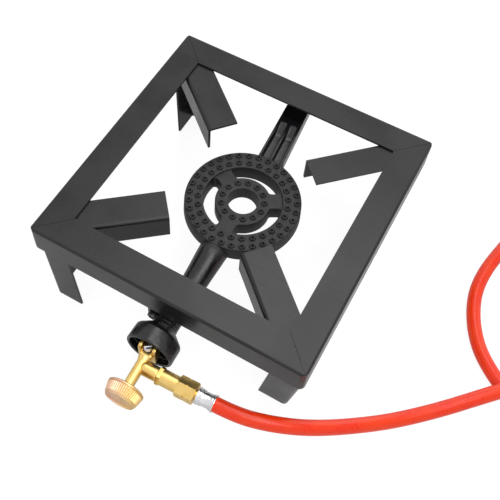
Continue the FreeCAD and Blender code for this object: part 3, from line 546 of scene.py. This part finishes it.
tube = {
    "axis": -48.0, "radius": 12.6, "swell": 1.2, "headDrop": 15.0, "start": 50.0, "end": 157.0,
    # share of the way, of the drop and of the swell
    "stations": ((0, 0, 1), (0.14, 0.12, 0.95), (0.32, 0.55, 0.45), (0.5, 0.9, 0.1), (0.68, 1, 0),
                 (1, 1, 0.03)),
}


def addTube(shell, b, t):
    # height and radius follow the stations, each the mean of nine neighbours
    share = np.linspace(0, 1, 60)
    knots = np.array(t["stations"])
    soft = np.ones(9) / 9
    drop = np.convolve(np.pad(np.interp(share, knots[:, 0], knots[:, 1]), 4, "edge"), soft, "valid")
    swell = np.convolve(np.pad(np.interp(share, knots[:, 0], knots[:, 2]), 4, "edge"), soft, "valid")
    head = b["top"] - t["headDrop"]
    y = -(t["start"] + (t["end"] - t["start"]) * share)
    path = np.stack([np.full_like(y, b["x"]), y, head + (t["axis"] - head) * drop], axis=1)
    shell.add(swept(path, t["radius"] * (1 + (t["swell"] - 1) * swell), 64))


mouth = {
    "neck": 13.0, "back": 155.5, "shoulder": 9.5, "outer": 25.0, "wall": 3.2, "face": 183.0,
    "barWidth": 12.0, "barThickness": 8.0, "barInset": 7.0, "boss": 7.2, "holeRadius": 21.4, "holeRound": 4.0,
    "tongueWidth": 7.0, "tongueThickness": 3.5, "tongueReach": 10.9, "tongueUnder": 5.5,
}


def addMouth(shell, m, axis):
    # outside, round the rim and back down the inside, one closed profile
    back, face, outer, wall = m["back"], m["face"], m["outer"], m["wall"]
    throat = m["neck"] - wall
    profile = softened(
        [(back - 4, throat), (back - 4, m["neck"]), (back - 0.3, m["neck"]),
         (back + m["shoulder"], outer - 0.3), (face, outer), (face, outer - wall),
         (back + m["shoulder"] + wall, outer - wall),
         (back + wall, throat)], 1.7, 5, loop=True)
    shell.add(revolved(closedLoop(profile), axis, (0, -1, 0), 120), closed=False)
    # front plate with its two air openings; its own x, y and height become x, z and -y
    front = -(face - m["barInset"])
    half, depth = m["barWidth"] / 2, m["barThickness"]
    moons = [halfMoonOutline(m["holeRadius"], half, m["holeRound"], side) for side in (-1, 1)]
    plate = plateMesh([circleOutline(outer - wall / 2, 96), *moons], depth, 1.0)
    shell.addMesh(plate, lambda points: axis + (0, front + depth / 2, 0) + points[:, [0, 2, 1]] * (1, -1, 1))
    bpy.data.meshes.remove(plate)
    boss = softened([(0, 0), (0, m["boss"]), (depth, m["boss"]), (depth, 0)], 1.2)
    shell.add(revolved(boss, axis + (0, front, 0), (0, 1, 0), 48))
    half, under = m["tongueWidth"] / 2, m["tongueUnder"]
    shell.add(roundedBox(axis + (-half, front - m["tongueReach"], under),
                         axis + (half, front + depth / 2, under + m["tongueThickness"]), 0.7))


ear = {"radius": 5.5, "hole": 2.4, "out": 15.3, "rise": 4.0, "sheet": 5.0, "back": 147.5}


def addEar(shell, e, axis):
    # a round plate with the hole of the front screw, and the web that joins it to the neck
    hub = axis + (-e["out"], -e["back"], e["rise"])
    profile = softened([(0, e["hole"]), (0, e["radius"]), (e["sheet"], e["radius"]), (e["sheet"], e["hole"])],
                       0.9, 4, loop=True)
    shell.add(revolved(closedLoop(profile), hub, (0, -1, 0), 40), closed=False)
    shell.add(roundedBox(hub + (e["radius"] - 1.5, -e["sheet"] + 0.2, -e["radius"] + 0.6),
                         hub + (e["out"], -0.2, e["radius"] - 0.6), 1.2))


arm = {
    "start": 55.0, "end": 147.4, "halfRing": 14.5, "halfEnd": 13.0, "turn": 4.9, "pivot": 65.0, "low": -41.0,
    "top": -26.3, "rail": 3.6, "rib": 1.5, "grooveDepth": 6.0, "grooveFade": (96.0, 116.0),
    "ribFade": (90.0, 112.0), "pad": 121.0, "padDrop": 9.0,
    "lug": 20.0, "lugSheet": 5.0, "lugTop": -12.0,
}


def addArm(shell, a, middle):
    # its section is drawn at each station, two grooves and a rib between two rails
    y = np.concatenate([np.linspace(a["start"], a["pad"] - 0.4, 60), [a["pad"] + 0.5, a["end"]]])
    along = (y - a["start"]) / (a["end"] - a["start"])
    half = a["halfRing"] + (a["halfEnd"] - a["halfRing"]) * along
    top, low = np.full_like(y, a["top"]), np.full_like(y, a["low"])

    def fade(start, stop):
        # 1 before start, 0 past stop, smooth in between
        share = np.clip((y - start) / (stop - start), 0, 1)
        return 1 - share * share * (3 - 2 * share)

    pocket = np.where(y > a["pad"], a["padDrop"], 0.0)
    floor = top - a["grooveDepth"] * fade(*a["grooveFade"]) - pocket - 0.25
    ribTop = top - 0.6 - 0.4 * (1 - fade(*a["ribFade"])) - pocket
    rib, rail = a["rib"] + 0.2 * along, half - a["rail"]
    right = [(half, low), (half - 0.4, top), (rail + 0.5, top), (rail - 0.4, floor), (rib + 0.6, floor),
             (rib, ribTop)]
    outline = right + [(-x, z) for x, z in right[::-1]]
    section = np.stack([np.stack([x, y, z], axis=1) for x, z in outline])
    section = softened(section, 0.9, 4, loop=True).transpose(1, 0, 2)
    shell.add(spun(section, a["turn"], np.array([0, a["pivot"], 0])) + middle)
    lean = math.tan(math.radians(a["turn"])) * (a["end"] - a["pivot"])
    spot = middle + (-lean, 0, 0)
    shell.add(roundedBox(spot + (-a["lug"] / 2, a["end"] - a["lugSheet"], a["low"]),
                         spot + (a["lug"] / 2, a["end"], a["lugTop"]), 1.0))


def makeCasting():
    shell = Shell()
    middle = np.array([burner["x"], 0.0, 0.0])
    axis = middle + (0, 0, tube["axis"])
    addRing(shell, burner, middle)
    addJets(shell, burner, jets, middle)
    addTube(shell, burner, tube)
    addMouth(shell, mouth, axis)
    addEar(shell, ear, axis)
    addArm(shell, arm, middle)
    made = shell.piece("burner_casting_detailed", iron, "black_cast_iron", sharp=42)
    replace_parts(made, "burner_casting")


makeCasting()
print("casting made")


# Valve, drawn about the crossing of its stem and branch, then swung on its clamp screw

valve = {
    "swing": 2.2, "clampY": -182.7, "clampBack": 15.8,
    "stem": 5.25, "stemLength": 26.0, "branch": 7.25, "branchLength": 20.0,
    "saddle": 7.6, "saddleStart": 9.0, "saddleEnd": 21.5, "under": 5.45,
    "flankStart": 11.5, "flankInner": 5.6, "flankSheet": 3.4, "flankTop": 14.0, "flankDrop": 13.0,
    "flankRound": 4.2,
    "nose": 3.2, "noseLength": 9.0,
}


def swung(points):
    hub = np.array([burner["x"], valve["clampY"], tube["axis"]])
    return spun(np.asarray(points, float) + hub - (0, valve["clampBack"], 0), valve["swing"], hub)


def makeValve(v):
    shell = Shell()
    back, length, radius = v["saddleStart"], v["stemLength"], v["stem"]
    stem = [(-back, 0), (-back, v["saddle"] - 0.6), (-back * 0.45, radius), (length - 3.2, radius),
            (length - 2.6, radius - 0.35), (length, radius - 0.35), (length, 3.05), (length - 2, 3.05),
            (length - 2, 0)]
    shell.add(swung(revolved(softened(stem, 0.5, 3), (0, 0, 0), (0, -1, 0), 64)))
    length, radius = v["branchLength"] - 0.1, v["branch"]
    branch = [(-1, 0), (-1, 3.6), (2.6, 5.2), (4.0, radius), (length, radius), (length, 0)]
    shell.add(swung(revolved(softened(branch, 1.7, 7), (0, 0, 0), (1, 0, 0), 64)))
    # saddle: a round bar whose top is cut off under the tongue, from section to section
    angle = np.linspace(0, 2 * np.pi, 72, endpoint=False)
    y = np.array([back - 0.1, back + 0.1, back + 1.0, v["saddleEnd"] - 0.8, v["saddleEnd"], v["saddleEnd"]])
    radius = v["saddle"] + np.array([-1.2, -0.5, 0, 0, -0.8, -0.8])
    x = radius[:, None] * np.cos(angle)
    z = np.minimum(radius[:, None] * np.sin(angle), v["under"])
    shell.add(swung(np.stack([x, y[:, None] * np.ones_like(x), z], axis=-1)))
    # flanks: one rounded outline in y and z, narrowed towards both faces, carried across the sheet
    near, far, low, high = v["flankStart"], v["saddleEnd"], -v["flankDrop"], v["flankTop"]
    edge, soft, sheet = 0.7, v["flankRound"], v["flankSheet"]
    across = np.array([0, edge * 0.3, edge, sheet - edge, sheet - edge * 0.3, sheet])
    narrow = np.array([edge, edge * 0.3, 0, 0, edge * 0.3, edge])
    turn = np.linspace(0, np.pi / 2, 9) + np.arange(4)[:, None] * np.pi / 2
    hubY = np.array([far - soft, near + soft, near + soft, far - soft])[:, None]
    hubZ = np.array([high - soft, high - soft, low + soft, low + soft])[:, None]
    radius = (soft - narrow)[:, None, None]
    y, z = hubY + radius * np.cos(turn), hubZ + radius * np.sin(turn)
    for side in (-1, 1):
        x = side * (v["flankInner"] + across)[:, None, None] * np.ones_like(y)
        shell.add(swung(np.stack([x, y, z], axis=-1).reshape(len(across), -1, 3)))
    tip = v["saddleEnd"] + v["noseLength"]
    nose = softened([(0, 0), (0, v["nose"]), (v["noseLength"], v["nose"]), (v["noseLength"], 0)], 0.5)
    shell.add(swung(revolved(nose, (0, tip - v["noseLength"] - 1, 0), (0, 1, 0), 40)))
    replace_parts(shell.piece("valve_body_detailed", brass, "brass"), "valve_body")


makeValve(valve)


# Knurled knob

knob = {
    "teeth": 48, "toothDepth": 0.8, "band": (27.3, 36.3), "bandRadii": (18.3, 16.2), "blend": 0.6,
    "outside": 15.3,
    "profile": ((30.2, 0), (30.2, 6.4), (24.25, 6.4), (24.25, 17.1), (25.2, 18.35), (26.5, 18.35),
                (26.75, 17.5), (27.1, 17.5), (27.3, 18.3), (36.3, 16.2), (36.8, 15.8), (38.55, 14.75),
                (38.65, 14.2), (38.65, 13.6), (37.2, 12.9), (37.2, 0)),
}


def makeKnob(k):
    # the radius dips by the tooth depth times a rounded wave round the rim, only inside the band
    profile = softened(k["profile"], 0.22, 4)
    start, stop = k["band"]
    row = np.linspace(start, stop, 16)
    d, r = profile[:, 0], profile[:, 1]
    wanted = (r > k["outside"]) & (d > start - 0.05) & (d < stop + 0.05)
    first = int(np.argmax(wanted))
    last = len(d) - int(np.argmax(wanted[::-1]))
    band = np.stack([row, np.interp(row, (start, stop), k["bandRadii"])], axis=1)
    profile = np.concatenate([profile[:first], band, profile[last:]])
    columns = k["teeth"] * 8
    grid = revolved(profile, (0, 0, 0), (0, -1, 0), columns)
    d = profile[:, 0]
    window = np.clip((d - start) / k["blend"], 0, 1) * np.clip((stop - d) / k["blend"], 0, 1)
    window = window * (profile[:, 1] > k["outside"])
    wave = np.abs(np.sin(np.arange(columns) * np.pi / 8))
    dip = k["toothDepth"] * window[:, None] * (1 - wave)
    hub = np.stack([np.zeros_like(d), -d, np.zeros_like(d)], axis=1)[:, None]
    out = grid - hub
    length = np.linalg.norm(out, axis=-1, keepdims=True)
    grid = hub + out * (1 - dip[..., None] / np.maximum(length, 1))
    shell = Shell().add(swung(grid))
    made = shell.piece("control_knob_detailed", knobBrass, "knob_brass", body="knob", sharp=30)
    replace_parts(made, "control_knob")


makeKnob(knob)
print("valve and knob made")


# Crimped sleeve on the hose, with four dents beside its lip

ferrule = {
    "way": (0.99926, 0.03839, 0.0), "end": (85.05, -195.45, -48.0), "length": 18.0,
    "profile": ((0, 4.2), (0, 8.5), (1.6, 8.5), (1.9, 8.0), (2.4, 8.0), (2.9, 8.0), (3.4, 8.0), (3.9, 8.0),
                (4.4, 8.0), (4.9, 8.0), (5.4, 8.0), (6.8, 7.25), (13.0, 7.25), (14.7, 8.0), (16.3, 8.0),
                (17.0, 8.8), (18.0, 8.8), (18.0, 4.2)),
    "dents": 4, "dentTurn": 54.0, "dentAt": 3.9, "dentLength": 0.9, "dentAngle": 0.2, "dentDepth": 0.55,
}


def makeFerrule(f):
    # each dent lowers the radius by its depth times a bell curve along the sleeve and one round it
    steps = 144
    profile = closedLoop(softened(f["profile"], 0.4, 3, loop=True))
    way = np.array(f["way"])
    start = np.array(f["end"]) - way * f["length"]
    grid = revolved(profile, start, way, steps)
    gap = 2 * np.pi / f["dents"]
    turn = (np.arange(steps) * 2 * np.pi / steps - math.radians(f["dentTurn"]) + gap / 2) % gap - gap / 2
    along = np.exp(-((profile[:, :1] - f["dentAt"]) / f["dentLength"]) ** 2) * (profile[:, 1:] > 7.5)
    dip = f["dentDepth"] * along * np.exp(-(turn / f["dentAngle"]) ** 2)
    hub = (start + profile[:, :1] * way)[:, None]
    grid = hub + (grid - hub) * (1 - dip[..., None] / profile[:, 1:, None])
    made = Shell().add(grid, closed=False).piece("hose_ferrule_detailed", chrome, "chrome", sharp=50)
    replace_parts(made, "hose_ferrule")


makeFerrule(ferrule)


# Weld beads between the legs and the skirts

weld = {
    "radius": 2.1, "heights": (-22.0, -38.5), "ripples": 7, "rippleDepth": 0.12,
    "skirt": 147.5, "legWidth": 32.0, "besideLeg": 0.6, "offSkirt": 1.5, "inset": {"leg_front_left": 4.0},
}


def makeWelds(w):
    # a short upright bead: its radius swells and sinks along the way, and its ends are round
    share = np.linspace(0, 1, 60)
    high, low = w["heights"]
    ends = np.sqrt(np.clip(1 - np.abs(2 * share - 1) ** 10, 0, 1))
    depth = w["rippleDepth"]
    radii = w["radius"] * ends * (1 - depth + depth * np.abs(np.sin(np.pi * w["ripples"] * share)))
    shell = Shell()
    away, near = w["legWidth"] + w["besideLeg"], w["skirt"] - w["offSkirt"]
    for name in ("leg_front_left", "leg_front_right", "leg_back_right", "leg_back_left"):
        signX = 1 if "right" in name else -1
        signY = 1 if "back" in name else -1
        alongX = (signX * (w["skirt"] - w["inset"].get(name, 0.0) - away), signY * near)
        alongY = (signX * near, signY * (w["skirt"] - away))
        for x, y in (alongX, alongY):
            path = np.stack([np.full(60, x), np.full(60, y), high + (low - high) * share], axis=1)
            shell.add(swept(path, radii, 14))
    shell.piece("weld_beads", steel, "black_steel")


makeWelds(weld)


# Gas hose: one smooth line through the air, over the floor and round its loop

gasHose = {
    "diameter": 15.0, "length": 1.461, "height": -112.5,
    "exit": (85.05, -195.45, -48.0), "exitWay": (0.99926, 0.03839, 0.0), "lead": 22.0,
    "air": ((136.5, -186.0, -50.0), (166.5, -169.8, -59.1), (195.8, -145.0, -77.0), (233.0, -111.5, -92.5),
            (270.0, -75.5, -95.3), (300.0, -44.0, -93.3), (345.0, 3.6, -93.3), (384.0, 45.2, -105.5)),
    "floor": ((414.4, 80.4), (430.0, 96.0), (458.6, 124.5), (468.5, 174.3), (449.1, 221.2), (406.9, 249.4),
              (337.3, 249.4), (288.1, 221.0), (268.0, 158.0), (254.0, 90.0), (266.0, 41.0), (293.2, 2.3),
              (351.2, -31.2), (418.2, -31.2), (476.2, 2.3), (509.7, 60.3), (509.7, 141.9)),
    "rise": ((490.6, 198.0, -112.5), (483.4, 218.9, -108.63), (474.96, 243.8, -108.63)),
}


def makeHose(h):
    exitPoint = np.array(h["exit"])
    points = [exitPoint, exitPoint + np.array(h["exitWay"]) * h["lead"], *h["air"]]
    points += [(x, y, h["height"]) for x, y in h["floor"]] + list(h["rise"])
    curve = bpy.data.curves.new("gas_hose_line", "CURVE")
    curve.dimensions = "3D"
    spline = curve.splines.new("NURBS")
    spline.points.add(len(points) - 1)
    spots = np.ones((len(points), 4))
    spots[:, :3] = toFrame(points)
    spline.points.foreach_set("co", spots.ravel())
    spline.order_u = 3
    spline.use_endpoint_u = True
    curve.resolution_u = 12
    curve.bevel_depth = h["diameter"] / 2 * millimetre
    curve.bevel_resolution = 7
    curve.use_fill_caps = True
    curve.materials.append(orange)
    hose = bpy.data.objects.new("gas_hose_line", curve)
    bpy.context.scene.collection.objects.link(hose)
    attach(hose, "burner")
    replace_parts(hose, "gas_hose", "gas_hose_loop")


makeHose(gasHose)
print("hose made")


# Floor, world and light

studio = {
    "floorSize": 3.0, "floorZ": -120.0,
    "low": 0.12, "front": 0.65, "frontFrom": 0.1, "frontTo": 0.6,
    "back": 1.8, "backFrom": 0.55, "backTo": 0.8, "backTop": (0.60, 0.70),
    "softbox": 3.4, "softboxWay": (-0.08, 0.36, 0.93), "softboxEdge": (0.950, 0.986),
    "floorGlow": 0.90, "floorShade": 0.2, "mirroredGlow": 0.3, "mirroredShade": 0.5,
    "lampPlace": (500.0, -250.0, 1150.0), "lampSize": 0.8, "lampPower": 6.5,
}


def makeStudio(s):
    size, z = s["floorSize"], toFrame((0, 0, s["floorZ"]))[2]
    data = bpy.data.meshes.new("floor")
    corners = [(-size, -size, z), (size, -size, z), (size, size, z), (-size, size, z)]
    data.from_pydata(corners, [], [(0, 1, 2, 3)])
    floor = bpy.data.objects.new("floor", data)
    bpy.context.scene.collection.objects.link(floor)
    p = newMaterial("white floor")

    def whitened(shade, glow):
        # a white floor that glows a little by itself, so that only part of a shadow shows
        matt = p.node("ShaderNodeBsdfDiffuse", None, {"Color": (shade, shade, shade, 1)})
        own = p.node("ShaderNodeEmission", None, {"Color": (1, 1, 1, 1), "Strength": glow})
        return p.node("ShaderNodeAddShader", None, {0: matt, 1: own})

    lit = p.node("ShaderNodeBsdfDiffuse", None, {"Color": (0.8, 0.8, 0.8, 1)})
    mirrored = whitened(s["mirroredShade"], s["mirroredGlow"])
    straight = whitened(s["floorShade"], s["floorGlow"])
    inMetal = p.node("ShaderNodeMixShader", None, {0: p.ray("glossy"), 1: lit, 2: mirrored})
    seen = p.math("MINIMUM", p.ray("camera") + p.ray("transmission"), 1.0)
    data.materials.append(p.surface(p.node("ShaderNodeMixShader", None, {0: seen, 1: inMetal, 2: straight})))

    world = bpy.data.worlds.new("studio")
    bpy.context.scene.world = world
    p = Paint(world)
    way = p.node("ShaderNodeTexCoord", output=0)
    ahead, up = [p.node("ShaderNodeSeparateXYZ", None, {"Vector": way}, output=k) for k in (1, 2)]
    window = (ahead * -1.0).between(s["frontFrom"], s["frontTo"]) * s["front"]
    behind = ahead.between(s["backFrom"], s["backTo"]) * (1.0 - up.between(*s["backTop"])) * s["back"]
    sockets = {0: way, 1: s["softboxWay"]}
    near = p.node("ShaderNodeVectorMath", {"operation": "DOT_PRODUCT"}, sockets, output=1)
    light = near.between(*s["softboxEdge"]) * s["softbox"] + window + behind + s["low"]
    # glossy rays meet the white background, or the light where that is brighter
    light = p.math("MAXIMUM", light, p.ray("glossy"))
    soft = p.node("ShaderNodeBackground", None, {"Color": (1, 1, 1, 1), "Strength": light})
    white = p.node("ShaderNodeBackground", None, {"Color": (1, 1, 1, 1), "Strength": 1.0})
    seen = p.math("MINIMUM", p.ray("camera") + p.ray("transmission"), 1.0)
    p.surface(p.node("ShaderNodeMixShader", None, {0: seen, 1: soft, 2: white}), "ShaderNodeOutputWorld")

    lamp = bpy.data.lights.new("softbox", "AREA")
    lamp.size, lamp.energy = s["lampSize"], s["lampPower"]
    holder = bpy.data.objects.new("softbox", lamp)
    place = Vector(toFrame(s["lampPlace"]))
    aim = Vector(toFrame((0, 0, 0))) - place
    holder.matrix_world = Matrix.Translation(place) @ aim.to_track_quat("-Z", "Y").to_matrix().to_4x4()
    bpy.context.scene.collection.objects.link(holder)


makeStudio(studio)
bpy.context.scene.view_settings.view_transform = "Standard"
print("studio made")


bpy.context.view_layer.update()
print("finished")
